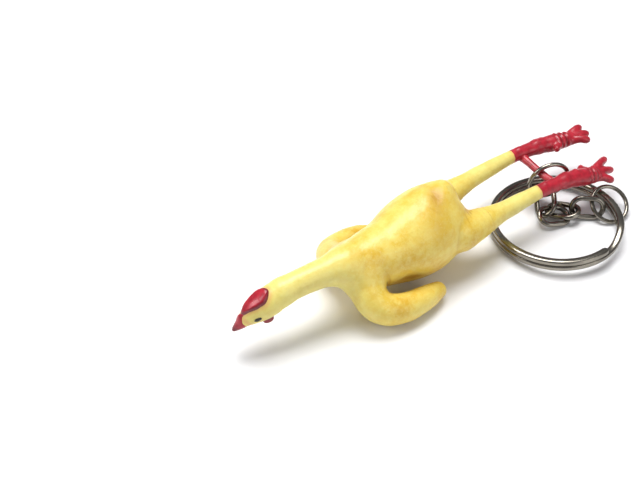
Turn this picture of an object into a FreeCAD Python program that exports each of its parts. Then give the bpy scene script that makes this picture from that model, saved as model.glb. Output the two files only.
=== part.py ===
import FreeCAD, Part
import math
import os
from FreeCAD import Vector, Placement, Rotation

# Rubber chicken keychain, lying on its belly: head at -X, feet at +X, left
# side at -Y, back up.  A soft solid moulding (divided at the places where the
# rubber bends), two jump rings, four curb links and a split key ring.
doc = FreeCAD.newDocument("rubber_chicken_keychain")
sheet = doc.addObject("Spreadsheet::Sheet", "dims")
row = [0]


def cell(alias, value, note=""):
    row[0] += 1
    n = row[0]
    sheet.set("A%d" % n, alias)
    sheet.set("B%d" % n, "%.5f" % value)
    sheet.setAlias("B%d" % n, alias)
    if note:
        sheet.set("C%d" % n, note)


# ---------------------------------------------------------------- dimensions
SHIFT = (-7.825, 5.416, 0.0)      # from the modelling origin to the base centre

RADII = [
    ("joint_gap", 0.30, "running gap round every ball of the moulding"),
    ("rim_setback", 0.70, "how far a socket's rim stands back of its pivot"),
    ("torso_half_length", 12.5, ""),
    ("torso_half_width", 7.9, ""),
    ("torso_half_height", 8.9, ""),
    ("chest_radius", 6.3, ""),
    ("chest_front_radius", 3.6, ""),
    ("tail_length_radius", 3.4, ""),
    ("tail_width_radius", 3.0, ""),
    ("tail_height_radius", 4.4, ""),
    ("neck_base_ball", 3.0, ""),
    ("neck_root_radius", 2.85, ""),
    ("neck_end_radius", 2.6, ""),
    ("neck_mid_ball", 2.35, ""),
    ("neck_mid_radius", 2.25, ""),
    ("head_ball", 2.35, ""),
    ("head_root_radius", 2.25, ""),
    ("skull_radius", 2.85, ""),
    ("face_radius", 1.7, ""),
    ("beak_radius", 1.3, ""),
    ("beak_tip_radius", 0.5, ""),
    ("comb_half_length", 3.3, ""),
    ("comb_half_width", 1.35, ""),
    ("comb_half_height", 1.0, ""),
    ("eye_radius", 0.55, ""),
    ("wattle_half_length", 1.15, ""),
    ("wattle_half_width", 0.7, ""),
    ("wing_ball", 2.6, ""),
    ("wing_root_radius", 2.45, ""),
    ("wing_elbow_radius", 3.0, ""),
    ("wing_tip_radius", 1.6, ""),
    ("hip_ball", 3.7, ""),
    ("hip_radius", 3.35, ""),
    ("thigh_end_radius", 2.35, ""),
    ("knee_ball", 2.05, ""),
    ("knee_radius", 1.95, ""),
    ("ankle_radius", 1.45, "where the yellow ends and the red paint begins"),
    ("ankle_end_radius", 1.85, ""),
    ("foot_ball", 1.5, ""),
    ("foot_root_radius", 1.4, ""),
    ("foot_pad_radius", 2.0, ""),
    ("toe_root_radius", 1.0, ""),
    ("toe_tip_radius", 0.55, ""),
    ("crossbar_radius", 0.95, ""),
    ("crossbar_gap", 0.05, "clearance of the bar's far end, which is the opened loop"),
    ("jump_ring_large_radius", 4.3, "centreline"),
    ("jump_ring_large_wire", 0.475, "radius"),
    ("jump_ring_small_radius", 4.0, "centreline"),
    ("jump_ring_small_wire", 0.45, "radius"),
    ("link_end_radius", 2.075, "centreline"),
    ("link_straight", 2.6, ""),
    ("link_wire", 0.575, "radius"),
    ("key_ring_radius", 13.25, "centreline"),
    ("key_ring_band_width", 1.5, ""),
    ("key_ring_band_height", 1.22, ""),
    ("key_ring_pitch", 1.27, ""),
]

POINTS = {
    "torso_mid": (3.5, 0.0, 8.6),
    "chest": (-3.0, 0.0, 9.4),
    "tail": (10.2, 0.7, 13.9),
    "neck_base": (-15.0, 0.2, 11.3),
    "neck_mid": (-22.0, 0.7, 12.0),
    "head_pivot": (-28.0, 1.6, 11.5),
    "skull": (-31.2, 2.0, 10.6),
    "face": (-35.0, 2.8, 8.4),
    "beak_root": (-35.2, 2.85, 8.2),
    "beak_tip": (-37.9, 3.5, 6.2),
    "comb": (-33.7, 2.5, 11.8),
    "eye_left": (-33.9, 0.25, 9.6),
    "eye_right": (-33.0, 4.75, 9.6),
    "wattle_left": (-33.0, 1.2, 7.3),
    "wattle_right": (-32.5, 3.5, 7.3),
    "shoulder_left": (-10.3, -4.4, 7.4),
    "wing_elbow_left": (-8.0, -8.4, 3.1),
    "wing_tip_left": (1.4, -8.9, 2.3),
    "shoulder_right": (-10.9, 4.6, 7.8),
    "wing_elbow_right": (-9.2, 9.4, 3.8),
    "wing_tip_right": (0.6, 9.9, 3.1),
    "hip_left": (12.5, -4.5, 9.2),
    "knee_left": (21.0, -5.1, 9.2),
    "paint_left": (31.7, -5.5, 9.4),
    "foot_pivot_left": (39.0, -5.9, 8.8),
    "foot_pad_left": (44.6, -6.7, 7.5),
    "hip_right": (12.5, 4.5, 9.3),
    "knee_right": (21.4, 5.4, 9.7),
    "paint_right": (34.2, 5.5, 9.8),
    "foot_pivot_right": (41.4, 4.9, 9.6),
    "foot_pad_right": (46.9, 3.6, 9.2),
    "bar_left": (36.9, -5.75, 8.4),
    "bar_right": (36.7, 5.3, 9.35),
}

# toe tips and the spur, relative to each foot's pad centre
TOES_LEFT = [("toe_inner_left", (8.2, 1.9, -0.6)), ("toe_middle_left", (7.8, -0.7, -1.6)),
             ("toe_outer_left", (5.6, -2.9, -1.9)), ("spur_left", (1.2, 2.5, 0.5))]
TOES_RIGHT = [("toe_outer_right", (6.4, 0.3, 0.6)), ("toe_middle_right", (6.6, -1.9, 0.2)),
              ("toe_inner_right", (5.2, -3.6, 0.2)), ("spur_right", (-3.2, -2.6, 0.9))]

for alias, value, note in RADII:
    cell(alias, value, note)
for pad, toes in (("foot_pad_left", TOES_LEFT), ("foot_pad_right", TOES_RIGHT)):
    base = POINTS[pad]
    for name, off in toes:
        POINTS[name] = tuple(base[i] + off[i] for i in range(3))
for name in POINTS:
    for i, ax in enumerate("xyz"):
        cell("%s_%s" % (name, ax), POINTS[name][i] + SHIFT[i])
doc.recompute()
POINT = {n: Vector(*[POINTS[n][i] + SHIFT[i] for i in range(3)]) for n in POINTS}
DIM = {a: v for a, v, _ in RADII}


# ------------------------------------------------------------------- helpers
def bind(obj, **props):
    for prop, expr in props.items():
        obj.setExpression(prop, expr)


def at(obj, point, rotation=None):
    obj.Placement = Placement(POINT[point], rotation or Rotation())
    for ax in "xyz":
        obj.setExpression("Placement.Base.%s" % ax, "dims.%s_%s" % (point, ax))


def ball(name, point, radius, towards=None):
    """A ball; its poles point along the limb that leaves it."""
    o = doc.addObject("Part::Sphere", name)
    bind(o, Radius=radius)
    if towards:
        at(o, point, Rotation(Vector(0, 0, 1), POINT[towards] - POINT[point]))
    else:
        at(o, point)
    return o


def span(a, b):
    return "sqrt(%s)" % " + ".join(
        "(dims.%s_%s - dims.%s_%s)^2" % (b, ax, a, ax) for ax in "xyz")


def limb(name, a, b, radius_a, radius_b, short=None):
    """A tapered length of rubber from point a towards point b."""
    o = doc.addObject("Part::Cone", name)
    length = span(a, b) + (" - %s" % short if short else "")
    bind(o, Radius1=radius_a, Radius2=radius_b, Height=length)
    at(o, a, Rotation(Vector(0, 0, 1), POINT[b] - POINT[a]))
    return o


def egg(name, point, along, side, up, rotation):
    """An ellipsoid: its X radius along, Y radius side and Z radius up."""
    o = doc.addObject("Part::Ellipsoid", name)
    o.Angle1, o.Angle2, o.Angle3 = -90, 90, 360
    bind(o, Radius1=up, Radius2=along, Radius3=side)
    at(o, point, rotation)
    return o


def fuse(name, parts):
    o = doc.addObject("Part::MultiFuse", name)
    o.Shapes = parts
    return o


def cut(name, base, tool):
    o = doc.addObject("Part::Cut", name)
    o.Base, o.Tool = base, tool
    return o


NODES = {}


def node(name, obj):
    obj.Label = name
    NODES[name] = obj
    return obj


def turned(x_dir, y_dir):
    """The rotation whose X and Y axes lie along the two directions."""
    return Rotation(Vector(*x_dir), Vector(*y_dir), Vector(0, 0, 0), "XYZ")


# --------------------------------------------------------------------- torso
FLAT = Rotation()
trunk = egg("trunk", "torso_mid", "dims.torso_half_length", "dims.torso_half_width",
            "dims.torso_half_height", FLAT)
chest = limb("chest_cone", "chest", "neck_base", "dims.chest_radius",
             "dims.chest_front_radius", "dims.rim_setback")
tail = egg("tail_bump", "tail", "dims.tail_length_radius", "dims.tail_width_radius",
           "dims.tail_height_radius", Rotation(Vector(0, 1, 0), 22))
torso = fuse("torso_raw", [trunk, chest, tail])
floor_box = doc.addObject("Part::Box", "belly_plane")
floor_box.Length, floor_box.Width, floor_box.Height = 60, 60, 5
floor_box.Placement = Placement(Vector(-30, -30, -5), Rotation())
torso = cut("torso_flat", torso, floor_box)
torso = cut("torso_neck_socket", torso,
            ball("neck_base_socket", "neck_base", "dims.neck_base_ball + dims.joint_gap"))
for side in ("left", "right"):
    torso = cut("torso_wing_socket_" + side, torso,
                ball("wing_socket_" + side, "shoulder_" + side,
                     "dims.wing_ball + dims.joint_gap"))
# a notch round the hip line on each side, leaving a web between the thighs
hip_line = POINT["hip_right"] - POINT["hip_left"]
for side, sign in (("left", -1), ("right", 1)):
    c = doc.addObject("Part::Cylinder", "hip_notch_" + side)
    bind(c, Radius="dims.hip_ball + dims.joint_gap")
    c.Height = 12
    start = (POINT["hip_left"] + POINT["hip_right"]) * 0.5 + Vector(0, sign * 0.5, 0)
    c.Placement = Placement(start, Rotation(Vector(0, 0, 1), hip_line * sign))
    torso = cut("torso_hip_" + side, torso, c)
node("torso", torso)

# ---------------------------------------------------------------------- neck
low = fuse("neck_lower_raw", [
    ball("neck_base_knob", "neck_base", "dims.neck_base_ball", "neck_mid"),
    limb("neck_lower_cone", "neck_base", "neck_mid", "dims.neck_root_radius",
         "dims.neck_end_radius", "dims.rim_setback")])
node("neck_lower", cut("neck_lower_socketed", low,
                       ball("neck_mid_socket", "neck_mid",
                            "dims.neck_mid_ball + dims.joint_gap")))
high = fuse("neck_upper_raw", [
    ball("neck_mid_knob", "neck_mid", "dims.neck_mid_ball", "head_pivot"),
    limb("neck_upper_cone", "neck_mid", "head_pivot", "dims.neck_mid_radius",
         "dims.neck_end_radius", "dims.rim_setback")])
node("neck_upper", cut("neck_upper_socketed", high,
                       ball("head_socket", "head_pivot",
                            "dims.head_ball + dims.joint_gap")))

# ---------------------------------------------------------------------- head
head = node("head", fuse("head_raw", [
    ball("head_knob", "head_pivot", "dims.head_ball", "skull"),
    limb("head_back", "head_pivot", "skull", "dims.head_root_radius", "dims.skull_radius"),
    ball("skull_ball", "skull", "dims.skull_radius", "face"),
    limb("brow", "skull", "face", "dims.skull_radius", "dims.face_radius"),
    ball("face_ball", "face", "dims.face_radius", "skull")]))
forward = POINT["face"] - POINT["skull"]
forward.normalize()
right = forward.cross(Vector(0, 0, 1))
right.normalize()
crown = right.cross(forward)
HEAD = turned(forward, right)
beak = fuse("beak_raw", [
    limb("beak_cone", "beak_root", "beak_tip", "dims.beak_radius", "dims.beak_tip_radius"),
    ball("beak_point", "beak_tip", "dims.beak_tip_radius", "beak_root")])
beak = node("beak", cut("beak_seated", beak, head))
comb = egg("comb_raw", "comb", "dims.comb_half_length", "dims.comb_half_width",
           "dims.comb_half_height", HEAD)
comb = node("comb", cut("comb_seated", comb, head))
for side in ("left", "right"):
    eye = ball("eye_raw_" + side, "eye_" + side, "dims.eye_radius", "skull")
    node("eye_" + side, cut("eye_seated_" + side, eye, head))
    flap = egg("wattle_raw_" + side, "wattle_" + side, "dims.wattle_half_length",
               "dims.wattle_half_width", "dims.wattle_half_length", HEAD)
    node("wattle_" + side, cut("wattle_seated_" + side, flap, head))

# --------------------------------------------------------------------- wings
for side in ("left", "right"):
    node("wing_" + side, fuse("wing_raw_" + side, [
        ball("wing_knob_" + side, "shoulder_" + side, "dims.wing_ball", "wing_elbow_" + side),
        limb("wing_arm_" + side, "shoulder_" + side, "wing_elbow_" + side,
             "dims.wing_root_radius", "dims.wing_elbow_radius"),
        ball("wing_elbow_ball_" + side, "wing_elbow_" + side, "dims.wing_elbow_radius",
             "wing_tip_" + side),
        limb("wing_blade_" + side, "wing_elbow_" + side, "wing_tip_" + side,
             "dims.wing_elbow_radius", "dims.wing_tip_radius"),
        ball("wing_tip_ball_" + side, "wing_tip_" + side, "dims.wing_tip_radius",
             "wing_elbow_" + side)]))

# ---------------------------------------------------------------------- legs
for side, toes in (("left", TOES_LEFT), ("right", TOES_RIGHT)):
    thigh = fuse("thigh_raw_" + side, [
        ball("hip_knob_" + side, "hip_" + side, "dims.hip_ball", "knee_" + side),
        limb("thigh_cone_" + side, "hip_" + side, "knee_" + side, "dims.hip_radius",
             "dims.thigh_end_radius", "dims.rim_setback")])
    node("thigh_" + side, cut("thigh_socketed_" + side, thigh,
                              ball("knee_socket_" + side, "knee_" + side,
                                   "dims.knee_ball + dims.joint_gap")))
    node("shank_" + side, fuse("shank_raw_" + side, [
        ball("knee_knob_" + side, "knee_" + side, "dims.knee_ball", "paint_" + side),
        limb("shank_cone_" + side, "knee_" + side, "paint_" + side, "dims.knee_radius",
             "dims.ankle_radius")]))
    ankle = limb("ankle_cone_" + side, "paint_" + side, "foot_pivot_" + side,
                 "dims.ankle_radius", "dims.ankle_end_radius", "dims.rim_setback")
    ankle = cut("ankle_trimmed_" + side, ankle, NODES["shank_" + side])
    node("ankle_" + side, cut("ankle_socketed_" + side, ankle,
                              ball("foot_socket_" + side, "foot_pivot_" + side,
                                   "dims.foot_ball + dims.joint_gap")))
    pieces = [
        ball("foot_knob_" + side, "foot_pivot_" + side, "dims.foot_ball",
             "foot_pad_" + side),
        limb("foot_cone_" + side, "foot_pivot_" + side, "foot_pad_" + side,
             "dims.foot_root_radius", "dims.foot_pad_radius"),
        ball("foot_pad_ball_" + side, "foot_pad_" + side, "dims.foot_pad_radius",
             "foot_pivot_" + side)]
    for name, _ in toes:
        pieces.append(limb(name + "_cone", "foot_pad_" + side, name,
                           "dims.toe_root_radius", "dims.toe_tip_radius"))
        pieces.append(ball(name + "_tip", name, "dims.toe_tip_radius",
                           "foot_pad_" + side))
    node("foot_" + side, fuse("foot_raw_" + side, pieces))

# the bar that joins the two ankles; the large jump ring hangs on it
bar = limb("crossbar_cone", "bar_left", "bar_right", "dims.crossbar_radius",
           "dims.crossbar_radius")
bar = cut("crossbar_left_end", bar, doc.getObject("ankle_cone_left"))
bore = limb("crossbar_far_end", "paint_right", "foot_pivot_right",
            "dims.ankle_radius + dims.crossbar_gap",
            "dims.ankle_end_radius + dims.crossbar_gap", "dims.rim_setback")
node("crossbar", cut("crossbar_trimmed", bar, bore))


# --------------------------------------------------------------- metal parts
def seat(obj, centre, x_dir, y_dir, local=(0, 0, 0), turn=None):
    r = turned(x_dir, y_dir)
    c = Vector(*[centre[i] + SHIFT[i] for i in range(3)])
    p = Placement(c, r)
    q = Placement(Vector(*local), turn or Rotation())
    obj.Placement = p.multiply(q)
    return obj


def jump_ring(name, radius, wire, centre, x_dir, y_dir):
    o = doc.addObject("Part::Torus", name)
    o.Angle1, o.Angle2, o.Angle3 = -180, 180, 360
    bind(o, Radius1=radius, Radius2=wire)
    seat(o, centre, x_dir, y_dir)
    return node(name, o)


def link(name, centre, x_dir, y_dir):
    half = DIM["link_straight"] / 2
    r = DIM["link_end_radius"]
    parts = []
    for end, ang in ((1, -90), (-1, 90)):
        t = doc.addObject("Part::Torus", "%s_bend_%d" % (name, end + 1))
        t.Angle1, t.Angle2, t.Angle3 = -180, 180, 180
        bind(t, Radius1="dims.link_end_radius", Radius2="dims.link_wire")
        seat(t, centre, x_dir, y_dir, (end * half, 0, 0), Rotation(Vector(0, 0, 1), ang))
        parts.append(t)
    for sgn in (1, -1):
        c = doc.addObject("Part::Cylinder", "%s_side_%d" % (name, sgn + 1))
        bind(c, Radius="dims.link_wire", Height="dims.link_straight")
        seat(c, centre, x_dir, y_dir, (-half, sgn * r, 0), Rotation(Vector(0, 1, 0), 90))
        parts.append(c)
    return node(name, fuse(name + "_raw", parts))


METAL = {
    "crossbar_ring": ((38.4, -2.2, 6.6), (0.92718, -0.37461, 0.0), (0.0, 0.0, 1.0)),
    "chain_link_1": ((36.89005, -3.73801, 2.23565), (-0.61156, -0.77183, -0.17398),
                     (0.52156, -0.55863, 0.64491)),
    "chain_link_2": ((35.86988, -7.32290, 1.47688), (0.94092, -0.29309, -0.16961),
                     (0.32908, 0.90953, 0.25388)),
    "chain_link_3": ((38.51925, -7.36272, 1.54539), (0.38672, -0.88186, 0.26975),
                     (-0.91571, -0.40184, -0.00092)),
    "chain_link_4": ((42.40534, -10.52700, 2.62115), (0.78033, -0.62251, -0.05971),
                     (0.28531, 0.26942, 0.91979)),
    "key_ring_link": ((47.10000, -12.50000, 2.50000), (0.79871, -0.56161, -0.21600),
                      (0.59283, 0.67298, 0.44233)),
    "split_ring": ((34.40000, -9.20000, 2.20000), (0.80208, -0.59560, 0.04389),
                   (0.59715, 0.80087, -0.04497)),
}

jump_ring("crossbar_ring", "dims.jump_ring_large_radius", "dims.jump_ring_large_wire",
          *METAL["crossbar_ring"])
for k in (1, 2, 3, 4):
    link("chain_link_%d" % k, *METAL["chain_link_%d" % k])
jump_ring("key_ring_link", "dims.jump_ring_small_radius", "dims.jump_ring_small_wire",
          *METAL["key_ring_link"])

# split key ring: a flat band wound twice with one joggle, so keys can be wound
# on.  Its two ends stop short of the joggle.
R0 = DIM["key_ring_radius"]
RISE = DIM["key_ring_pitch"]
START, END, JOG = 20.0, 700.0, 17.0
path = []
deg = START
while deg <= END + 0.001:
    s = min(1.0, max(0.0, (deg - (360.0 - JOG)) / (2.0 * JOG)))
    lift = RISE * (s * s * (3.0 - 2.0 * s) - 0.5)
    path.append(Vector(R0 * math.cos(math.radians(deg)), R0 * math.sin(math.radians(deg)), lift))
    deg += 4.25
curve = Part.BSplineCurve()
curve.interpolate(path)
w, t, c = DIM["key_ring_band_width"] / 2, DIM["key_ring_band_height"] / 2, 0.3
corners = [(-w + c, -t), (w - c, -t), (w, -t + c), (w, t - c),
           (w - c, t), (-w + c, t), (-w, t - c), (-w, -t + c)]
a0 = math.radians(START)
section = Part.makePolygon([Vector((R0 + u) * math.cos(a0), (R0 + u) * math.sin(a0),
                                   path[0].z + v) for u, v in corners + corners[:1]])
pipe = Part.BRepOffsetAPI.MakePipeShell(Part.Wire(curve.toShape()))
pipe.setBiNormalMode(Vector(0, 0, 1))
pipe.add(section)
pipe.build()
pipe.makeSolid()
coil = doc.addObject("Part::Feature", "split_ring_coil")
coil.Shape = pipe.shape()
seat(coil, *METAL["split_ring"], (0, 0, 0), Rotation(Vector(0, 0, 1), -28))
node("split_ring", coil)

doc.recompute()
bad = []
for o in doc.Objects:
    if "Invalid" in o.State or "Error" in o.State:
        bad.append((o.Name, o.State))
for name, o in NODES.items():
    if o.Shape.isNull() or not o.Shape.isValid() or len(o.Shape.Solids) != 1:
        bad.append((name, "shape", len(o.Shape.Solids)))
if bad:
    raise RuntimeError("bad objects: %s" % bad)

os.makedirs("parts", exist_ok=True)
for name, o in NODES.items():
    o.Shape.exportStep("parts/%s.step" % name)
low = [1e9] * 3
high = [-1e9] * 3
for name, o in NODES.items():
    b = o.Shape.optimalBoundingBox(False)
    for i, (p, q) in enumerate(((b.XMin, b.XMax), (b.YMin, b.YMax), (b.ZMin, b.ZMax))):
        low[i], high[i] = min(low[i], p), max(high[i], q)
    print("%-15s z %.3f..%.3f  volume %.1f" % (name, b.ZMin, b.ZMax, o.Shape.Volume))
print("low", low, "high", high)
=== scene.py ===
import math

import bmesh
import bpy
import numpy as np
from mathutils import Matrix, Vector


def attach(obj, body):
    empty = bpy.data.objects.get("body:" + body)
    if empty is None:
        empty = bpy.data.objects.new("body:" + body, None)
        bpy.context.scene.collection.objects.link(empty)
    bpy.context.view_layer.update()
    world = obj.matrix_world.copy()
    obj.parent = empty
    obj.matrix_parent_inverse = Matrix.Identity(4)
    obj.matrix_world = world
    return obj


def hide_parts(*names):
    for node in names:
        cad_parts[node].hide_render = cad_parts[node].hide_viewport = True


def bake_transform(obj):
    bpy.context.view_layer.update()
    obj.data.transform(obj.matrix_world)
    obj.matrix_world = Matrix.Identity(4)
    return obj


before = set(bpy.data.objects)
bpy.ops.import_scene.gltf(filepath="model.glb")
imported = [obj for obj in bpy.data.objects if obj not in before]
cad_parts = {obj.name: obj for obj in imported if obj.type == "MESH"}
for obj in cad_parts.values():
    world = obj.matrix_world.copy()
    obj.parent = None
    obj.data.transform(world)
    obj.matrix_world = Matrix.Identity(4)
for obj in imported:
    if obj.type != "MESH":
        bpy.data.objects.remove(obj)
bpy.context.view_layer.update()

# The rubber is worked out in millimetres in the modelling frame: +X from the
# beak to the feet, +Y to the chicken's far wing, Z up from the table.  SHIFT
# takes a point from there to the row frame.
SHIFT = np.array([-7.825, 5.416, 0.0])
STEP = 0.22
BIG = 4.0


def spline(points, n=6):
    p = np.array(points, float)
    p = np.vstack([2 * p[0] - p[1], p, 2 * p[-1] - p[-2]])
    out = []
    for i in range(1, len(p) - 2):
        a, b, c, d = p[i - 1:i + 3]
        for t in np.linspace(0, 1, n, endpoint=False):
            out.append(0.5 * (2 * b + (c - a) * t + (2 * a - 5 * b + 4 * c - d) * t * t
                              + (3 * b - a - 3 * c + d) * t ** 3))
    out.append(p[-2])
    return np.array(out)


def smin(a, b, k):
    h = np.maximum(k - np.abs(a - b), 0.0) / k
    return np.minimum(a, b) - h * h * k * 0.25


def smax(a, b, k):
    return -smin(-a, -b, k)


class Field:
    """Signed distances on a grid, in millimetres."""

    def __init__(self, lo, hi, step):
        self.step = step
        self.lo = np.array(lo, float)
        self.n = np.ceil((np.array(hi, float) - self.lo) / step).astype(int) + 1
        self.v = np.full(self.n, BIG, np.float32)

    def window(self, lo, hi):
        a = np.clip(np.floor((np.array(lo) - self.lo) / self.step).astype(int), 0, self.n)
        b = np.clip(np.ceil((np.array(hi) - self.lo) / self.step).astype(int) + 1, 0, self.n)
        if np.any(b <= a):
            return None
        s = tuple(slice(a[i], b[i]) for i in range(3))
        g = [(self.lo[i] + self.step * np.arange(a[i], b[i])).astype(np.float32) for i in range(3)]
        return s, g[0][:, None, None], g[1][None, :, None], g[2][None, None, :]

    def chain(self, points, pad=3.0, squash=(1.0, 0.0)):
        """The distance to a row of balls joined by cones. squash scales Z about a height."""
        out = np.full(self.n, BIG, np.float32)
        sz, zc = squash
        for a, b in zip(points[:-1], points[1:]):
            r = max(a[3], b[3]) * max(1.0, sz) + pad
            w = self.window(np.minimum(a[:3], b[:3]) - r, np.maximum(a[:3], b[:3]) + r)
            if w is None:
                continue
            s, X, Y, Z = w
            if sz != 1.0:
                Z = (Z - zc) / sz + zc
            ab = (b - a)[:3]
            L = max(float(ab @ ab), 1e-9)
            t = np.clip(((X - a[0]) * ab[0] + (Y - a[1]) * ab[1] + (Z - a[2]) * ab[2]) / L, 0, 1)
            d = np.sqrt((X - a[0] - t * ab[0]) ** 2 + (Y - a[1] - t * ab[1]) ** 2
                        + (Z - a[2] - t * ab[2]) ** 2) - (a[3] + t * (b[3] - a[3]))
            out[s] = np.minimum(out[s], d)
        return out

    def sample(self, p, grid=None):
        grid = self.v if grid is None else grid
        q = np.clip((p - self.lo) / self.step, 0, self.n - 1.001)
        i = np.floor(q).astype(int)
        f = q - i
        r = 0
        for dx in (0, 1):
            for dy in (0, 1):
                for dz in (0, 1):
                    w = (np.where(dx, f[:, 0], 1 - f[:, 0]) * np.where(dy, f[:, 1], 1 - f[:, 1])
                         * np.where(dz, f[:, 2], 1 - f[:, 2]))
                    r = r + w * grid[i[:, 0] + dx, i[:, 1] + dy, i[:, 2] + dz]
        return r

    def normals(self, p):
        e = self.step * 0.9
        g = np.stack([self.sample(p + e * u) - self.sample(p - e * u) for u in np.eye(3)], 1)
        return g / np.maximum(np.linalg.norm(g, axis=1, keepdims=True), 1e-9)

    def bend(self):
        """How hollow the surface is: positive in creases."""
        v = np.clip(self.v, -2.5, 2.5)
        out = np.zeros_like(v)
        out[1:-1, 1:-1, 1:-1] = (
            v[2:, 1:-1, 1:-1] + v[:-2, 1:-1, 1:-1] + v[1:-1, 2:, 1:-1] + v[1:-1, :-2, 1:-1]
            + v[1:-1, 1:-1, 2:] + v[1:-1, 1:-1, :-2] - 6 * v[1:-1, 1:-1, 1:-1]) / self.step ** 2
        return -out

    def mesh(self):
        """Surface nets, with every point then moved onto the surface."""
        inside = self.v < 0
        c = np.zeros(tuple(self.n - 1), np.int8)
        corners = [(i, j, k) for i in (0, 1) for j in (0, 1) for k in (0, 1)]
        sub = {q: tuple(slice(q[a], self.n[a] - 1 + q[a]) for a in range(3)) for q in corners}
        for q in corners:
            c += inside[sub[q]]
        cells = np.argwhere((c > 0) & (c < 8))
        index = np.full(tuple(self.n - 1), -1, np.int64)
        index[cells[:, 0], cells[:, 1], cells[:, 2]] = np.arange(len(cells))
        acc = np.zeros((len(cells), 3))
        cnt = np.zeros(len(cells))
        for q in corners:
            for a in range(3):
                if q[a]:
                    continue
                r = list(q)
                r[a] = 1
                va = self.v[cells[:, 0] + q[0], cells[:, 1] + q[1], cells[:, 2] + q[2]]
                vb = self.v[cells[:, 0] + r[0], cells[:, 1] + r[1], cells[:, 2] + r[2]]
                m = (va < 0) != (vb < 0)
                t = va[m] / (va[m] - vb[m])
                p = np.tile(np.array(q, float), (int(m.sum()), 1))
                p[:, a] += t
                acc[m] += p
                cnt[m] += 1
        p = (cells + acc / cnt[:, None]) * self.step + self.lo
        faces = []
        for a in range(3):
            u, w = (a + 1) % 3, (a + 2) % 3
            s0 = [slice(None)] * 3
            s1 = [slice(None)] * 3
            s0[a], s1[a] = slice(0, self.n[a] - 1), slice(1, self.n[a])
            x = inside[tuple(s0)] != inside[tuple(s1)]
            e = np.argwhere(x)
            e = e[(e[:, u] > 0) & (e[:, w] > 0) & (e[:, u] < self.n[u] - 1) & (e[:, w] < self.n[w] - 1)]
            quad = []
            for du, dw in ((1, 1), (0, 1), (0, 0), (1, 0)):
                i = e.copy()
                i[:, u] -= du
                i[:, w] -= dw
                quad.append(index[i[:, 0], i[:, 1], i[:, 2]])
            quad = np.stack(quad, 1)
            flip = ~inside[e[:, 0], e[:, 1], e[:, 2]]
            quad[flip] = quad[flip][:, ::-1]
            faces.append(quad)
        faces = np.vstack(faces)
        for _ in range(3):
            n = self.normals(p)
            p = p - n * np.clip(self.sample(p), -0.3, 0.3)[:, None]
        # one light relaxation along the surface evens the points out
        tri = np.vstack([faces[:, [0, 1]], faces[:, [1, 2]], faces[:, [2, 3]], faces[:, [3, 0]]])
        s = np.zeros_like(p)
        k = np.zeros(len(p))
        for i, j in ((0, 1), (1, 0)):
            np.add.at(s, tri[:, i], p[tri[:, j]])
            np.add.at(k, tri[:, i], 1)
        p = 0.4 * p + 0.6 * s / np.maximum(k, 1)[:, None]
        for _ in range(3):
            n = self.normals(p)
            p = p - n * np.clip(self.sample(p), -0.3, 0.3)[:, None]
        return p, np.vstack([faces[:, [0, 1, 2]], faces[:, [0, 2, 3]]])


def hash_noise(p, scale, seed=0):
    """Smooth value noise, the same every run."""
    q = p / scale + 31.7 * seed
    i = np.floor(q).astype(np.int64)
    f = q - i
    f = f * f * (3 - 2 * f)
    r = 0
    for dx in (0, 1):
        for dy in (0, 1):
            for dz in (0, 1):
                h = ((i[..., 0] + dx) * 374761393 + (i[..., 1] + dy) * 668265263
                     + (i[..., 2] + dz) * 2147483647 + seed * 974711)
                h = (h ^ (h >> 13)) * 1274126177
                h = ((h ^ (h >> 16)) & 0xFFFF) / 65535.0
                w = (np.where(dx, f[..., 0], 1 - f[..., 0]) * np.where(dy, f[..., 1], 1 - f[..., 1])
                     * np.where(dz, f[..., 2], 1 - f[..., 2]))
                r = r + w * h
    return r * 2 - 1


# --------------------------------------------------------- the rubber's shape
TORSO = [(-15.0, 0.2, 11.3, 3.2), (-12.0, 0.2, 10.4, 4.4), (-8.0, 0.1, 9.4, 5.7), (-3.0, 0.0, 8.8, 6.7),
         (1.5, 0.2, 8.8, 7.95), (4.8, 0.4, 9.0, 8.3), (7.5, 0.7, 9.2, 7.7), (9.2, 1.1, 9.4, 6.4)]
TAIL = [(6.2, 0.7, 12.8, 4.9), (8.9, 1.2, 14.7, 3.5), (10.6, 1.5, 15.5, 2.5)]
NECK = [(-15.0, 0.3, 11.4, 3.4), (-17.5, 0.6, 11.8, 3.0), (-21.0, 0.9, 12.1, 2.72),
        (-25.0, 1.3, 12.0, 2.6), (-28.0, 1.7, 11.6, 2.65)]
HEAD = [(-28.0, 1.7, 11.6, 2.65), (-31.0, 2.0, 10.6, 2.85), (-33.2, 2.4, 9.6, 2.5), (-35.0, 2.8, 8.5, 1.75),
        (-35.9, 3.0, 7.8, 1.3)]
LEG_LEFT = [(11.0, -4.4, 9.0, 4.0), (15.0, -4.8, 9.0, 3.2), (21.0, -5.1, 9.1, 2.1), (26.0, -5.3, 9.2, 1.8),
            (31.7, -5.5, 9.3, 1.5), (35.2, -5.7, 9.1, 1.5), (39.0, -5.9, 8.8, 1.55)]
LEG_RIGHT = [(11.0, 4.4, 9.4, 3.7), (15.0, 4.9, 9.5, 3.0), (21.4, 5.4, 9.7, 2.0), (27.5, 5.5, 9.9, 1.75),
             (34.2, 5.5, 9.9, 1.45), (37.8, 5.2, 9.8, 1.5), (41.4, 4.9, 9.6, 1.55)]
WING_LEFT = [(-12.6, -3.4, 7.6, 3.35), (-12.4, -6.1, 5.5, 3.35), (-10.6, -8.2, 3.9, 3.25), (-6.8, -9.35, 3.1, 3.0),
             (-2.2, -9.6, 2.7, 2.5), (1.5, -9.3, 2.35, 1.75)]
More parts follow.
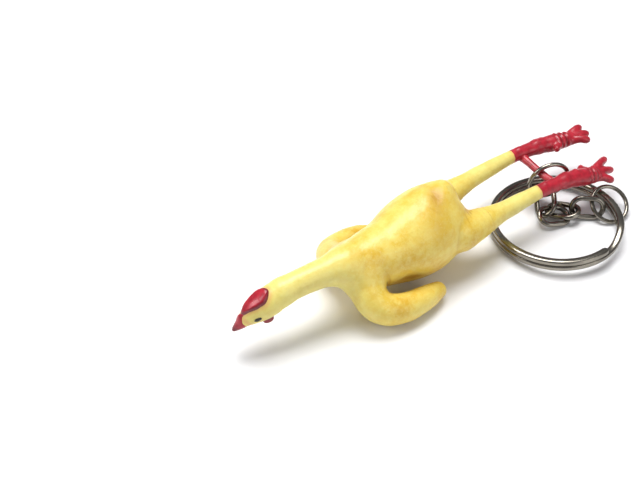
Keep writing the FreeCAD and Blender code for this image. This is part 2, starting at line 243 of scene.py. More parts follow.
WING_RIGHT = [(-11.8, 4.2, 7.8, 3.2), (-11.6, 7.6, 5.6, 3.2), (-9.8, 10.2, 4.2, 3.0), (-6.2, 11.2, 3.8, 2.6),
              (-2.4, 11.3, 3.4, 2.2), (0.9, 10.6, 3.1, 1.5)]
PAD_LEFT, PAD_RIGHT = np.array([44.6, -6.7, 7.5]), np.array([46.9, 3.6, 9.2])
FOOT_LEFT = [(39.0, -5.9, 8.8, 1.5), (41.2, -6.2, 8.4, 1.75), (43.6, -6.6, 7.8, 1.9), (46.2, -7.0, 7.2, 1.75)]
FOOT_RIGHT = [(41.4, 4.9, 9.6, 1.5), (43.6, 4.4, 9.4, 1.75), (45.6, 3.9, 9.3, 1.9), (48.2, 3.2, 9.2, 1.7)]
TOES_LEFT = [(8.2, 1.9, -0.6), (7.8, -0.7, -1.6), (5.6, -2.9, -1.9), (0.6, 2.1, 0.5)]
TOES_RIGHT = [(6.4, 0.3, 0.6), (6.6, -1.9, 0.2), (5.2, -3.6, 0.2), (-3.0, -2.1, 0.8)]

skin = Field((-40.0, -13.6, -0.8), (55.5, 14.4, 19.0), STEP)
torso = skin.chain(spline(TORSO, 6), squash=(1.05, 8.4))
for _ in range(10):                                  # soften the rows of balls
    for ax in range(3):
        t = torso.swapaxes(0, ax)
        t[1:-1] = 0.25 * t[:-2] + 0.5 * t[1:-1] + 0.25 * t[2:]
tail = skin.chain(spline(TAIL, 4))
body = smin(torso, tail, 2.2)
neck = skin.chain(spline(NECK, 5))
head = skin.chain(spline(HEAD, 6))
v = smin(body, smin(neck, head, 0.8), 2.4)
wings = {}
for side, pts in (("left", WING_LEFT), ("right", WING_RIGHT)):
    wings[side] = skin.chain(spline(pts, 6))
    # wide webs at the shoulders, none at the tips
    gx = skin.lo[0] + STEP * np.arange(skin.n[0])
    k = 3.0 - 2.2 * np.clip((gx + 10.5) / 5.5, 0, 1)
    v = smin(v, wings[side], k[:, None, None].astype(np.float32))
legs = {}
for side, pts, foot, pad, toes in (("left", LEG_LEFT, FOOT_LEFT, PAD_LEFT, TOES_LEFT),
                                   ("right", LEG_RIGHT, FOOT_RIGHT, PAD_RIGHT, TOES_RIGHT)):
    leg = skin.chain(spline(pts, 5))
    f = skin.chain(spline(foot, 4))
    along = np.array(foot[-1][:3]) - np.array(foot[0][:3])
    along /= np.linalg.norm(along)
    for k, off in enumerate(toes):
        tip = pad + np.array(off)
        if k < 3:
            # each toe leaves the pad beside its neighbour, and bends a little
            rootp = pad + 0.30 * np.array(off) + 0.8 * along
            mid = 0.5 * (rootp + tip) + np.array((0.0, 0.0, 0.35))
            toe = [(*rootp, 1.05), (*mid, 0.85), (*(0.25 * mid + 0.75 * tip), 0.82), (*tip, 0.42)]
        else:
            rootp = pad + 0.25 * np.array(off)
            toe = [(*rootp, 1.1), (*(0.5 * rootp + 0.5 * tip), 0.95), (*tip, 0.72)]
        f = smin(f, skin.chain(spline(toe, 4), pad=1.6), 0.55)
    leg = smin(leg, f, 1.0)
    legs[side] = leg
    v = smin(v, leg, 1.0)

X = (skin.lo[0] + STEP * np.arange(skin.n[0]))[:, None, None].astype(np.float32)
Y = (skin.lo[1] + STEP * np.arange(skin.n[1]))[None, :, None].astype(np.float32)
Z = (skin.lo[2] + STEP * np.arange(skin.n[2]))[None, None, :].astype(np.float32)


def bump(centre, size, amount, turn=0.0):
    """A soft swelling, or with a negative amount a hollow, turned about the vertical."""
    global v
    reach = 3 * max(size)
    s, gx, gy, gz = skin.window(np.array(centre) - reach, np.array(centre) + reach)
    c, k = math.cos(math.radians(turn)), math.sin(math.radians(turn))
    dx, dy = gx - centre[0], gy - centre[1]
    g = np.exp(-((c * dx + k * dy) / size[0]) ** 2 - ((c * dy - k * dx) / size[1]) ** 2
               - ((gz - centre[2]) / size[2]) ** 2)
    v[s] -= (amount * g).astype(np.float32)


bump((7.0, -0.3, 16.8), (1.7, 3.2, 2.4), -0.40, -34)  # hollow in front of the tail
bump((9.6, -0.2, 16.6), (1.3, 3.0, 2.0), 0.25, -34)    # and the ridge behind it
bump((13.4, 0.4, 13.0), (1.2, 2.8, 2.2), -0.35)      # under the tail
bump((15.6, 0.0, 9.0), (2.2, 1.3, 4.0), -0.6)        # between the legs
bump((-13.0, -4.4, 9.0), (1.8, 1.6, 2.0), -0.35)     # where neck meets shoulder
bump((-3.6, -6.3, 5.6), (3.8, 1.4, 2.2), -0.6)      # armpits
bump((-3.8, 6.6, 6.6), (3.4, 1.3, 2.2), -0.55)
bump((-34.3, 2.5, 10.2), (0.8, 2.2, 1.0), -0.10)
for k, (c, r) in enumerate((((33.6, -5.2, 10.6), .6), ((37.8, -6.9, 9.6), .7), ((40.0, -4.7, 9.2), .6),
                            ((36.4, 5.6, 11.0), .6), ((39.6, 3.9, 10.3), .7), ((43.0, 5.6, 10.4), .6),
                            ((42.2, -5.6, 10.0), .6))):
    bump(c, (r, r, r), 0.28)                         # knuckles on the ankles
for pad, along, lo_, hi_ in ((PAD_LEFT, np.array((.96, -.14, -.24)), -0.4, 3.6),
                             (PAD_RIGHT, np.array((.97, -.24, 0.0)), -1.6, 2.2)):
    s, gx, gy, gz = skin.window(pad - 6, pad + 7)
    t = (gx - pad[0]) * along[0] + (gy - pad[1]) * along[1] + (gz - pad[2]) * along[2]
    on = np.clip((t - lo_) / 0.6, 0, 1) * np.clip((hi_ - t) / 0.6, 0, 1) * np.clip((gz - pad[2] + 0.9) / 0.8, 0, 1)
    v[s] -= (0.16 * on * np.sin(2 * math.pi * t / 1.25)).astype(np.float32)
v = smax(v, -Z + 0 * v, 0.9)                         # it lies on the table
skin.v = v.astype(np.float32)
hollow = skin.bend()
shade = np.zeros_like(skin.v)
points, faces = skin.mesh()
grow = (0.05 * hash_noise(points, 2.6, 1) + 0.02 * hash_noise(points, 1.1, 2))
points = points + skin.normals(points) * grow[:, None]
points[:, 2] = np.maximum(points[:, 2], 0.0)


# ---------------------------------------------------------- cutting into pieces
def cut(mesh, g):
    """The parts of a mesh where g is below and above nothing, split along g = 0."""
    p, f = mesh
    s = g(p)
    s = np.where(np.abs(s) < 1e-6, 1e-6, s)
    sign = s > 0
    fs = sign[f]
    count = fs.sum(1)
    low, high = [f[count == 0]], [f[count == 3]]
    mixed = f[(count == 1) | (count == 2)]
    new, extra = {}, []

    def crossing(a, b):
        key = (a, b) if a < b else (b, a)
        if key not in new:
            t = s[key[0]] / (s[key[0]] - s[key[1]])
            new[key] = len(p) + len(extra)
            extra.append(p[key[0]] + t * (p[key[1]] - p[key[0]]))
        return new[key]

    lo_, hi_ = [], []
    for t in mixed.tolist():
        alone = sum(sign[i] for i in t) == 1
        k = [i for i in range(3) if sign[t[i]] == alone][0]
        a, b, c = t[k], t[(k + 1) % 3], t[(k + 2) % 3]
        ab, ac = crossing(a, b), crossing(a, c)
        one, two = [(a, ab, ac)], [(ab, b, c), (ab, c, ac)]
        (hi_ if alone else lo_).extend(one)
        (lo_ if alone else hi_).extend(two)
    if extra:
        p = np.vstack([p, np.array(extra)])
        low.append(np.array(lo_))
        high.append(np.array(hi_))
    out = []
    for part in (np.vstack(low), np.vstack(high)):
        used, inv = np.unique(part.ravel(), return_inverse=True)
        out.append((p[used], inv.reshape(-1, 3)))
    return out


def plane(point, direction):
    n = np.array(direction, float)
    n /= np.linalg.norm(n)
    return lambda p: (p - np.array(point)) @ n


def near(name_grid, limit, point, direction):
    """Below nothing close to a limb and beyond a plane."""
    pl = plane(point, direction)
    return lambda p: np.maximum(skin.sample(p, name_grid) - limit, -pl(p))


NECK_DIR = (-1.0, 0.07, 0.1)
HEAD_DIR = (-0.93, 0.15, -0.15)
HIP_X, KNEE_X = 10.4, 18.6
wing_cut = {"left": near(wings["left"], 1.0, (-10.6, -4.6, 6.4), (0.2, -0.72, -0.66)),
            "right": near(wings["right"], 1.0, (-11.0, 5.4, 7.0), (0.2, 0.72, -0.66))}
whole = (points, faces)
parts = {}
for side in ("left", "right"):
    parts["wing_" + side], whole = cut(whole, wing_cut[side])
whole, front = cut(whole, plane((-13.9, 0.2, 11.0), (-0.861, 0.05, 0.506)))
parts["neck_lower"], front = cut(front, plane((-19.2, 0.5, 11.8), (-1.0, 0.07, 0.0)))
parts["neck_upper"], parts["head"] = cut(front, plane((-25.0, 1.1, 12.0), HEAD_DIR))
parts["torso"], rear = cut(whole, plane((HIP_X, 0, 9), (1, 0, 0)))


def sides(p):
    """Below nothing on the near leg's side."""
    w = np.clip((p[:, 0] - 17.5) / 2.5, 0, 1)
    return (1 - w) * (p[:, 1] - 0.15) + w * (skin.sample(p, legs["left"]) - skin.sample(p, legs["right"]))


left, right = cut(rear, sides)
paint = {"left": ((31.7, -5.5, 9.3), (0.97, -0.18, 0.13)), "right": ((34.2, 5.5, 9.9), (0.98, -0.12, -0.06))}
for side, rest in (("left", left), ("right", right)):
    parts["thigh_" + side], rest = cut(rest, plane((KNEE_X, 0, 9), (1, 0, 0)))
    c, n = paint[side]
    pl = plane(c, n)

    def edge(p, pl=pl):
        return pl(p) + 0.16 * hash_noise(p, 1.3, 5) + 0.07 * hash_noise(p, 0.5, 6)

    parts["shank_" + side], parts["foot_" + side] = cut(rest, edge)


# ------------------------------------------------------------------ materials
def srgb(r, g, b):
    return tuple(((c / 255 + 0.055) / 1.055) ** 2.4 if c > 10 else c / 255 / 12.92 for c in (r, g, b)) + (1.0,)


def material(name):
    m = bpy.data.materials.new(name)
    m.use_nodes = True
    nt = m.node_tree
    nt.nodes.clear()
    out = nt.nodes.new("ShaderNodeOutputMaterial")
    bsdf = nt.nodes.new("ShaderNodeBsdfPrincipled")
    nt.links.new(bsdf.outputs["BSDF"], out.inputs["Surface"])
    return m, nt, bsdf


def attribute(nt, name):
    n = nt.nodes.new("ShaderNodeAttribute")
    n.attribute_type = "GEOMETRY"
    n.attribute_name = name
    return n


def noise(nt, vector, scale, detail=3.0, rough=0.55):
    n = nt.nodes.new("ShaderNodeTexNoise")
    n.inputs["Scale"].default_value = scale
    n.inputs["Detail"].default_value = detail
    n.inputs["Roughness"].default_value = rough
    nt.links.new(vector, n.inputs["Vector"])
    return n.outputs["Fac"]


def ramp(nt, fac, stops):
    n = nt.nodes.new("ShaderNodeValToRGB")
    while len(n.color_ramp.elements) < len(stops):
        n.color_ramp.elements.new(0.5)
    for e, (at, c) in zip(n.color_ramp.elements, stops):
        e.position = at
        e.color = c
    nt.links.new(fac, n.inputs["Fac"])
    return n.outputs["Color"]


def mix(nt, fac, a, b, kind="MIX"):
    n = nt.nodes.new("ShaderNodeMix")
    n.data_type = "RGBA"
    n.blend_type = kind
    for value, socket in ((fac, n.inputs[0]), (a, n.inputs[6]), (b, n.inputs[7])):
        if isinstance(value, (int, float)):
            socket.default_value = value
        elif isinstance(value, tuple):
            socket.default_value = value
        else:
            nt.links.new(value, socket)
    return n.outputs[2]


def math_node(nt, op, a, b=0.0, clamp=False):
    n = nt.nodes.new("ShaderNodeMath")
    n.operation = op
    n.use_clamp = clamp
    for value, socket in ((a, n.inputs[0]), (b, n.inputs[1])):
        if isinstance(value, (int, float)):
            socket.default_value = value
        else:
            nt.links.new(value, socket)
    return n.outputs[0]


def grey(v):
    return (v, v, v, 1.0)


def add_bump(nt, bsdf, layers):
    last = None
    for height, strength, distance in layers:
        b = nt.nodes.new("ShaderNodeBump")
        b.inputs["Strength"].default_value = strength
        b.inputs["Distance"].default_value = distance
        nt.links.new(height, b.inputs["Height"])
        if last:
            nt.links.new(last, b.inputs["Normal"])
        last = b.outputs["Normal"]
    nt.links.new(last, bsdf.inputs["Normal"])


def rubber_material():
    m, nt, bsdf = material("yellow_rubber")
    rest = attribute(nt, "rest").outputs["Vector"]
    big = noise(nt, rest, 0.16, 2.0)
    mid = noise(nt, rest, 0.75, 4.0, 0.6)
    fine = noise(nt, rest, 2.6, 3.0, 0.6)
    pale, yellow, deep = srgb(238, 214, 104), srgb(232, 198, 74), srgb(220, 176, 48)
    base = ramp(nt, big, [(0.32, pale), (0.50, yellow), (0.72, deep)])
    mottle = ramp(nt, mid, [(0.38, grey(0.0)), (0.66, grey(1.0))])
    base = mix(nt, math_node(nt, "MULTIPLY", mottle, 0.55), base, srgb(242, 224, 126))
    speck = ramp(nt, fine, [(0.56, grey(0.0)), (0.72, grey(1.0))])
    base = mix(nt, math_node(nt, "MULTIPLY", speck, 0.32), base, srgb(246, 234, 160))
    low = ramp(nt, fine, [(0.28, grey(1.0)), (0.44, grey(0.0))])
    base = mix(nt, math_node(nt, "MULTIPLY", low, 0.30), base, srgb(222, 176, 60))
    # painted shade: the rubber turns ochre in creases and hollows, partly the chicken's own ochre airbrushing,
    # partly painted shade; it also lowers the coat there
    shade_and_tone = attribute(nt, "shade_and_tone").outputs["Fac"]
    shade_and_tone = math_node(nt, "MULTIPLY", shade_and_tone,
                     math_node(nt, "ADD", math_node(nt, "MULTIPLY", mid, 0.8), 0.6), clamp=True)
    base = mix(nt, math_node(nt, "MULTIPLY", shade_and_tone, 0.85), base, srgb(184, 134, 10))
    pale_at = attribute(nt, "pale").outputs["Fac"]
    base = mix(nt, math_node(nt, "MULTIPLY", pale_at, 0.5), base, srgb(236, 232, 146))
    fringe = attribute(nt, "fringe").outputs["Fac"]
    base = mix(nt, math_node(nt, "MULTIPLY", fringe, 0.5), base, srgb(232, 166, 104))
    # painted shade: the rubber darkens towards the table where it rests on it
    table_contact_shade = attribute(nt, "table_contact_shade").outputs["Fac"]
    base = mix(nt, math_node(nt, "MULTIPLY", table_contact_shade, 0.5), base, srgb(150, 108, 44))
    nt.links.new(base, bsdf.inputs["Base Color"])
    rough = math_node(nt, "ADD", math_node(nt, "MULTIPLY", fine, 0.30), 0.22)
    nt.links.new(rough, bsdf.inputs["Roughness"])
    bsdf.inputs["Subsurface Weight"].default_value = 0.14
    bsdf.inputs["Subsurface Radius"].default_value = (1.0, 0.8, 0.3)
    bsdf.inputs["Subsurface Scale"].default_value = 0.0006
    bsdf.inputs["IOR"].default_value = 1.46
    nt.links.new(math_node(nt, "ADD", math_node(nt, "MULTIPLY", shade_and_tone, -0.22), 0.22), bsdf.inputs["Coat Weight"])
    bsdf.inputs["Coat Roughness"].default_value = 0.22
    add_bump(nt, bsdf, [(mid, 0.35, 0.00035), (fine, 0.40, 0.00012)])
    return m


def paint_material(name="red_paint", dark_rim=True):
    m, nt, bsdf = material(name)
    rest = attribute(nt, "rest").outputs["Vector"]
    mid = noise(nt, rest, 0.8, 3.0)
    fine = noise(nt, rest, 3.2, 3.0)
    base = ramp(nt, mid, [(0.30, srgb(150, 16, 34)), (0.55, srgb(178, 24, 44)), (0.75, srgb(196, 36, 56))])
    worn = ramp(nt, fine, [(0.66, grey(0.0)), (0.80, grey(1.0))])
    base = mix(nt, math_node(nt, "MULTIPLY", worn, 0.12), base, srgb(214, 70, 80))
    if dark_rim:
        rim = attribute(nt, "rim").outputs["Fac"]
        base = mix(nt, rim, base, srgb(104, 14, 26))
    # painted shade: the red goes near black-red in the creases of the feet and crossbar; on the beak tip and
    # wattles the same mix gives a darker tone of the paint
    shade_and_tone = attribute(nt, "shade_and_tone").outputs["Fac"]
    base = mix(nt, math_node(nt, "MULTIPLY", shade_and_tone, 0.65), base, srgb(96, 8, 20))
    nt.links.new(base, bsdf.inputs["Base Color"])
    nt.links.new(math_node(nt, "ADD", math_node(nt, "MULTIPLY", fine, 0.18), 0.26), bsdf.inputs["Roughness"])
    bsdf.inputs["Coat Weight"].default_value = 0.25
    bsdf.inputs["Coat Roughness"].default_value = 0.12
    bsdf.inputs["Subsurface Weight"].default_value = 0.05
    bsdf.inputs["Subsurface Radius"].default_value = (1.0, 0.2, 0.1)
    bsdf.inputs["Subsurface Scale"].default_value = 0.0005
    add_bump(nt, bsdf, [(mid, 0.25, 0.0002), (fine, 0.12, 0.00004)])
    return m


def eye_material():
    m, nt, bsdf = material("eye_paint")
    rest = attribute(nt, "rest").outputs["Vector"]
    fine = noise(nt, rest, 4.0, 2.0)
    nt.links.new(ramp(nt, fine, [(0.3, srgb(14, 12, 10)), (0.8, srgb(46, 38, 26))]), bsdf.inputs["Base Color"])
    nt.links.new(math_node(nt, "ADD", math_node(nt, "MULTIPLY", fine, 0.2), 0.18), bsdf.inputs["Roughness"])
    add_bump(nt, bsdf, [(fine, 0.3, 0.00006)])
    return m


def nickel_material():
    m, nt, bsdf = material("nickel")
    tc = nt.nodes.new("ShaderNodeTexCoord").outputs["Object"]
    big = noise(nt, tc, 160.0, 3.0)
    fine = noise(nt, tc, 1500.0, 4.0, 0.7)
    base = ramp(nt, big, [(0.35, srgb(122, 117, 108)), (0.65, srgb(156, 150, 138))])
    stain = ramp(nt, fine, [(0.60, grey(0.0)), (0.78, grey(1.0))])
    base = mix(nt, math_node(nt, "MULTIPLY", stain, 0.22), base, srgb(84, 72, 52))
    nt.links.new(base, bsdf.inputs["Base Color"])
    bsdf.inputs["Metallic"].default_value = 1.0
    nt.links.new(math_node(nt, "ADD", math_node(nt, "MULTIPLY", fine, 0.22), 0.10), bsdf.inputs["Roughness"])
    add_bump(nt, bsdf, [(big, 0.12, 0.0002), (fine, 0.10, 0.00002)])
    return m


RUBBER, RED, EYE, NICKEL = rubber_material(), paint_material(), eye_material(), nickel_material()


# ------------------------------------------------------------ pieces of rubber
# centre, radius and strength of spots of ochre painted shade (partly the real ochre airbrushing): round the tail,
# between the legs, under the wings, at the shoulders
CREASE_SHADE_SPOTS = [((8.0, 0.9, 17.0), 1.6, 0.55), ((7.2, -0.3, 17.0), 1.8, 0.7), ((6.5, -1.6, 16.6), 1.8, 0.5), ((5.8, -3.0, 16.2), 2.2, 0.25), ((3.6, -4.6, 15.0), 3.2, 0.28), ((15.4, 0.0, 10.0), 3.0, 0.45),
         ((-3.6, -6.4, 5.0), 3.0, 0.65), ((-3.8, 7.0, 5.6), 3.0, 0.6), ((3.0, -7.6, 3.2), 4.0, 0.22),
         ((-12.6, 5.4, 9.0), 2.6, 0.45), ((12.4, -3.2, 12.6), 2.2, 0.35), ((-13.2, -4.6, 9.0), 1.8, 0.18)]


def smoothstep(a, b, x):
    t = np.clip((x - a) / (b - a), 0, 1)
    return t * t * (3 - 2 * t)


# painted shade: ochre in concave places and at the listed spots, partly the rubber's own ochre airbrushing
def ochre_and_crease_shade(p):
    w = 0.85 * smoothstep(0.02, 0.75, skin.sample(p, hollow))
    for c, r, a in CREASE_SHADE_SPOTS:
        w = w + a * np.exp(-np.sum((p - np.array(c)) ** 2, 1) / r ** 2)
    return np.clip(w, 0, 1)


F = np.array((-0.87, 0.167, -0.465))
T = np.array((-0.457, 0.088, 0.885))
S = np.array((0.189, 0.9825, 0.0))
COMB = np.array((-33.75, 2.55, 11.9))


def comb_outline(p):
    """How far outside the comb's egg-shaped outline a point is."""
    d = p - COMB
    u, w = d @ F + 0.6, d @ S
    a = np.where(u < 0, 2.7, 4.2)
    b = 1.8 * (1 - 0.09 * np.clip(u, -1.0, 4.0))
    return (np.sqrt((u / a) ** 2 + (w / b) ** 2) - 1) * 1.75


BEAK_ROOT = np.array((-35.5, 2.9, 8.05))
BEAK_AXIS = np.array((-0.78, 0.2, -0.59))
BEAK_AXIS /= np.linalg.norm(BEAK_AXIS)


def fringes(p):
    """A pinkish edge beside the red paint."""
    f = np.zeros(len(p))
    for side in ("left", "right"):
        c, n = paint[side]
        f = np.maximum(f, np.where(np.linalg.norm(p - np.array(c), axis=1) < 3.0,
                                   1 - smoothstep(0.0, 0.8, np.abs(plane(c, n)(p))), 0))
    up = np.abs((p - COMB) @ T) < 1.8
    up &= np.linalg.norm(p - COMB, axis=1) < 6.0
    f = np.maximum(f, np.where(up, 1 - smoothstep(0.0, 0.5, np.abs(comb_outline(p) - 0.12)), 0))
    f = np.maximum(f, np.where(np.linalg.norm(p - BEAK_ROOT, axis=1) < 2.6,
                               1 - smoothstep(0.1, 0.8, np.abs((p - BEAK_ROOT) @ BEAK_AXIS)), 0))
    return np.clip(f, 0, 1)


def row(p):
    return (np.asarray(p) + SHIFT) / 1000.0


def build(name, mesh, field, mat, attrs, caps=True):
    p, f = mesh
    me = bpy.data.meshes.new(name)
    me.from_pydata(row(p).tolist(), [], f.tolist())
    me.update()
    if caps:
        bm = bmesh.new()
        bm.from_mesh(me)
        bmesh.ops.remove_doubles(bm, verts=bm.verts, dist=2e-6)
        rim = [e for e in bm.edges if len(e.link_faces) == 1]
        if rim:
            made = bmesh.ops.holes_fill(bm, edges=rim, sides=0)["faces"]
            bmesh.ops.triangulate(bm, faces=made)
        loose = [x for x in bm.verts if not x.link_faces]
        if loose:
            bmesh.ops.delete(bm, geom=loose, context="VERTS")
        bm.to_mesh(me)
        bm.free()
    co = np.empty(len(me.vertices) * 3)
    me.vertices.foreach_get("co", co)
    q = co.reshape(-1, 3) * 1000.0 - SHIFT
    a = me.attributes.new("rest", "FLOAT_VECTOR", "POINT")
    a.data.foreach_set("vector", q.astype(np.float32).ravel())
    for key, fn in attrs.items():
        a = me.attributes.new(key, "FLOAT", "POINT")
        a.data.foreach_set("value", np.asarray(fn(q), np.float32))
    me.polygons.foreach_set("use_smooth", np.ones(len(me.polygons), bool))
    me.materials.append(mat)
    if field is not None:
        n = field.normals(q)
        flat = q[:, 2] < 0.02
        n[flat] = (0, 0, -1)
        me.normals_split_custom_set_from_vertices(n.tolist())
    o = bpy.data.objects.new(name, me)
    bpy.context.collection.objects.link(o)
    return o


# painted shade where the rubber meets the table: darker within 1.5 mm of it
def table_contact_shade(p):
    return np.clip(1 - p[:, 2] / 1.5, 0, 1) * 0.5


def paleness(p):
    """The thin parts, neck and legs, are lighter than the thick body."""
    return np.maximum(smoothstep(-11.0, -19.0, p[:, 0]), smoothstep(16.0, 25.0, p[:, 0]))


YELLOW = {"shade_and_tone": ochre_and_crease_shade, "fringe": fringes, "table_contact_shade": table_contact_shade, "pale": paleness}
# painted shade: the feet and crossbar darken in their creases
CRIMSON = {"shade_and_tone": lambda p: smoothstep(0.4, 2.2, skin.sample(p, hollow)),
           "rim": lambda p: 0.0 * p[:, 0]}


def bent(name, key, mat, attrs, nodes):
    o = build(name, parts[key], skin, mat, attrs)
    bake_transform(o)
    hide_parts(*nodes)
    return o


o = build("torso_skin", parts["torso"], skin, RUBBER, YELLOW)
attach(o, "torso")
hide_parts("torso")
bent("neck_lower_skin", "neck_lower", RUBBER, YELLOW,
     ["neck_lower"])
bent("neck_upper_skin", "neck_upper", RUBBER, YELLOW,
     ["neck_upper"])
bent("head_skin", "head", RUBBER, YELLOW,
     ["head"])
bent("wing_left_skin", "wing_left", RUBBER, YELLOW,
     ["wing_left"])
bent("wing_right_skin", "wing_right", RUBBER, YELLOW,
     ["wing_right"])
for side, y in (("left", -4.6), ("right", 4.8)):
    bent("thigh_%s_skin" % side, "thigh_" + side, RUBBER, YELLOW,
         ["thigh_" + side])
    bent("shank_%s_skin" % side, "shank_" + side, RUBBER, YELLOW,
         ["shank_" + side])
bent("foot_left_skin", "foot_left", RED, CRIMSON,
     ["ankle_left", "foot_left"])
bent("foot_right_skin", "foot_right", RED, CRIMSON,
     ["ankle_right", "foot_right"])


# --------------------------------------------- comb, beak, wattles, eyes, bar
def local(lo, hi, step=0.11):
    f = Field(lo, hi, step)
    gx = f.lo[0] + step * np.arange(f.n[0])
    gy = f.lo[1] + step * np.arange(f.n[1])
    gz = f.lo[2] + step * np.arange(f.n[2])
    p = np.stack(np.meshgrid(gx, gy, gz, indexing="ij"), -1).reshape(-1, 3)
    return f, p


def own(name, f, values, mat, attrs, body_name, nodes):
    f.v = values.reshape(tuple(f.n)).astype(np.float32)
    o = build(name, f.mesh(), f, mat, attrs)
    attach(o, body_name)
    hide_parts(*nodes)
    return o


f, p = local(COMB - 5.0, COMB + 5.0)
on = comb_outline(p) + 0.10 * hash_noise(p, 1.1, 9)
pad_ = skin.sample(p)
side_ = (p - COMB) @ T
comb = smax(pad_ - 0.42, on, 0.6)
comb = smax(comb, -(pad_ + 0.7), 0.2)
comb = smax(comb, -side_ - 2.2, 0.2)
comb = comb - 0.07 * (1 - smoothstep(0.0, 0.5, np.abs(on + 0.40)))
own("comb_pad", f, comb, RED,
    {"shade_and_tone": lambda q: 0.0 * q[:, 0], "rim": lambda q: 0.85 * smoothstep(-0.42, -0.05, comb_outline(q))},
    "head", ["comb"])

f, p = local((-40, 0.4, 4.0), (-33.2, 6.0, 10.6))
beak_pts = spline([(-35.0, 2.8, 8.5, 1.35), (-35.8, 2.95, 7.9, 1.32), (-36.8, 3.2, 7.05, 1.0),
                   (-37.6, 3.42, 6.4, 0.62), (-37.95, 3.5, 6.1, 0.42)], 5)
g = f.chain(beak_pts, pad=2.0).reshape(-1)
cere = f.chain(spline([(-36.0, 2.75, 9.9, 0.3), (-36.5, 3.1, 9.2, 0.5), (-36.4, 3.2, 8.3, 0.9)], 5), pad=2.0)
q = p - BEAK_ROOT
across = np.abs(q @ S)
down = q @ np.cross(S, BEAK_AXIS)
groove = np.exp(-(down + 0.25) ** 2 / 0.02) * smoothstep(0.35, 0.7, across)
g = g + 0.10 * groove
g = smax(g, -((p - BEAK_ROOT) @ BEAK_AXIS) - 0.15 + 0.15 * hash_noise(p, 0.9, 4), 0.25)
g = smin(g, cere.reshape(-1), 0.5)
own("beak_cone", f, g, RED,
    {"shade_and_tone": lambda r: 0.5 * smoothstep(1.6, 3.4, (r - BEAK_ROOT) @ BEAK_AXIS),
     "rim": lambda r: 0.7 * smoothstep(1.4, 3.2, (r - BEAK_ROOT) @ BEAK_AXIS)}, "head", ["beak"])

for side, c in (("left", (-32.1, 0.55, 7.75)), ("right", (-31.6, 4.1, 7.75))):
    c = np.array(c)
    f, p = local(c - 2.4, c + 2.4, 0.09)
    d = p - c
    u, w, t = d @ F, d @ S, d @ T
    lobe = np.sqrt((u / 1.05) ** 2 + (w / 0.55) ** 2 + ((t - 0.12 * u) / 0.95) ** 2) - 1
    g = lobe * 0.75 + 0.06 * hash_noise(p, 0.8, 3)
    own("wattle_%s_lobe" % side, f, g, RED,
        {"shade_and_tone": lambda r: 0.25 + 0.0 * r[:, 0], "rim": lambda r: 0.45 + 0.0 * r[:, 0]},
        "head", ["wattle_" + side])

for side, c in (("left", (-34.4, 0.55, 9.4)), ("right", (-33.7, 4.7, 9.4))):
    c = np.array([c], float)
    for _ in range(8):
        c = c - skin.normals(c) * skin.sample(c)[:, None]
    n = skin.normals(c)[0]
    c = c[0]
    f, p = local(c - 1.2, c + 1.2, 0.05)
    d = p - c
    h = d @ n
    u = F - n * (F @ n)
    u /= np.linalg.norm(u)
    w = np.cross(n, u)
    g = (np.sqrt(((d @ u) / 0.78) ** 2 + ((d @ w) / 0.44) ** 2 + (h / 0.20) ** 2) - 1) * 0.25
    own("eye_%s_dot" % side, f, g, EYE, {}, "head", ["eye_" + side])

f, p = local((34.6, -7.2, 6.4), (39.0, 6.8, 11.6), 0.14)
g = f.chain(spline([(36.9, -5.75, 8.6, 1.05), (36.85, -3.4, 8.6, 0.85), (36.75, 0.0, 8.85, 0.80),
                    (36.7, 3.2, 9.2, 0.88), (36.7, 5.0, 9.4, 1.1)], 5), pad=2.0).reshape(-1)
g = g + 0.04 * hash_noise(p, 1.0, 8)
own("crossbar_rod", f, g, RED, CRIMSON, "shank_left", ["crossbar"])

# ------------------------------------------------------------------ metal parts
for node in ("crossbar_ring", "chain_link_1", "chain_link_2", "chain_link_3", "chain_link_4",
             "key_ring_link", "split_ring"):
    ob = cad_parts[node]
    ob.data.materials.clear()
    ob.data.materials.append(NICKEL)



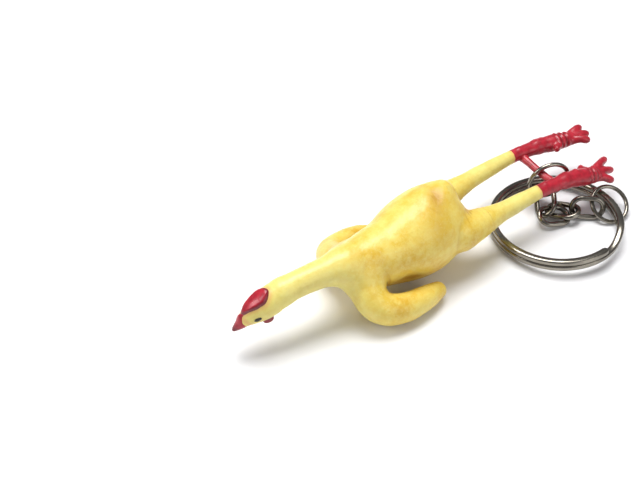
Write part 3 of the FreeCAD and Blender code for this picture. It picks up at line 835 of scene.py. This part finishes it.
def coil(name, centre, x_dir, y_dir, turned):
    """The split ring: a rounded band wound twice, with one joggle and two rounded ends."""
    xd, yd = np.array(x_dir), np.array(y_dir)
    zd = np.cross(xd, yd)
    start, end, jog, rise, radius = 20.0, 700.0, 17.0, 1.27, 13.25
    deg = np.arange(start, end + 0.01, 2.0)
    s = np.clip((deg - (360.0 - jog)) / (2 * jog), 0, 1)
    lift = rise * (s * s * (3 - 2 * s) - 0.5)
    near_end = np.minimum(np.arange(len(deg)), len(deg) - 1 - np.arange(len(deg)))
    slim = np.where(near_end == 0, 0.55, np.where(near_end == 1, 0.9, 1.0))
    m = 28
    a = np.linspace(0, 2 * math.pi, m, endpoint=False)
    ex = 2 / 3.2
    u = 0.76 * np.sign(np.cos(a)) * np.abs(np.cos(a)) ** ex
    w = 0.615 * np.sign(np.sin(a)) * np.abs(np.sin(a)) ** ex
    rows = []
    for t, h, k in zip(np.radians(deg - turned), lift, slim):
        r = radius + k * u
        rows.append(centre + np.outer(r * math.cos(t), xd) + np.outer(r * math.sin(t), yd)
                    + np.outer(h + k * w, zd))
    p = np.vstack(rows)
    n = len(rows)
    f = [(i * m + j, i * m + (j + 1) % m, (i + 1) * m + (j + 1) % m, (i + 1) * m + j)
         for i in range(n - 1) for j in range(m)]
    f = [tuple(reversed(q)) for q in f]
    f.append(tuple(range(m)))
    f.append(tuple(reversed(range((n - 1) * m, n * m))))
    me = bpy.data.meshes.new(name)
    me.from_pydata(row(p).tolist(), [], f)
    me.update()
    bm = bmesh.new()
    bm.from_mesh(me)
    bmesh.ops.recalc_face_normals(bm, faces=bm.faces)
    bm.to_mesh(me)
    bm.free()
    me.polygons.foreach_set("use_smooth", [len(q.vertices) == 4 for q in me.polygons])
    me.materials.append(NICKEL)
    o = bpy.data.objects.new(name, me)
    bpy.context.collection.objects.link(o)
    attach(o, "split_ring")
    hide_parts("split_ring")
    return o


coil("split_ring_band", np.array((34.4, -9.2, 2.2)), (0.80208, -0.59560, 0.04389),
     (0.59715, 0.80087, -0.04497), 28.0)

# ------------------------------------------------------------ floor and studio
bpy.ops.mesh.primitive_plane_add(size=3.0, location=(0, 0, 0))
floor = bpy.context.object
floor.name = "floor"
m, nt, bsdf = material("floor")
bsdf.inputs["Base Color"].default_value = (0.90, 0.90, 0.91, 1)
bsdf.inputs["Roughness"].default_value = 0.6
floor.data.materials.append(m)

world = bpy.data.worlds.new("studio")
bpy.context.scene.world = world
world.use_nodes = True
world.node_tree.nodes["Background"].inputs["Color"].default_value = (0.93, 0.95, 1.0, 1)
world.node_tree.nodes["Background"].inputs["Strength"].default_value = 0.26
bpy.context.scene.view_settings.view_transform = "Standard"


def lamp(name, place, target, size, power, shape="RECTANGLE", size_y=None):
    d = bpy.data.lights.new(name, "AREA")
    d.shape = shape
    d.size = size
    if shape == "RECTANGLE":
        d.size_y = size_y or size
    d.energy = power
    o = bpy.data.objects.new(name, d)
    bpy.context.collection.objects.link(o)
    o.location = place
    o.rotation_euler = (Vector(target) - Vector(place)).to_track_quat("-Z", "Y").to_euler()
    return o


lamp("overhead", (0.05, 0.12, 0.42), (0, 0, 0), 0.30, 2.0, size_y=0.22)
lamp("side", (-0.30, 0.16, 0.26), (0, 0, 0), 0.14, 0.5)
lamp("fill", (0.10, -0.40, 0.22), (0, 0, 0), 0.30, 0.45)

camera = bpy.data.cameras.new("camera")
camera.lens = 61.875
camera.sensor_width = 36.0
camera.clip_start = 0.01
camera.clip_end = 10.0
cam = bpy.data.objects.new("camera", camera)
bpy.context.collection.objects.link(cam)
cam.location = tuple(row((-104.780, -112.988, 163.0)))
cam.rotation_euler = (math.radians(45.0), 0.0, math.radians(-36.7))
bpy.context.scene.camera = cam
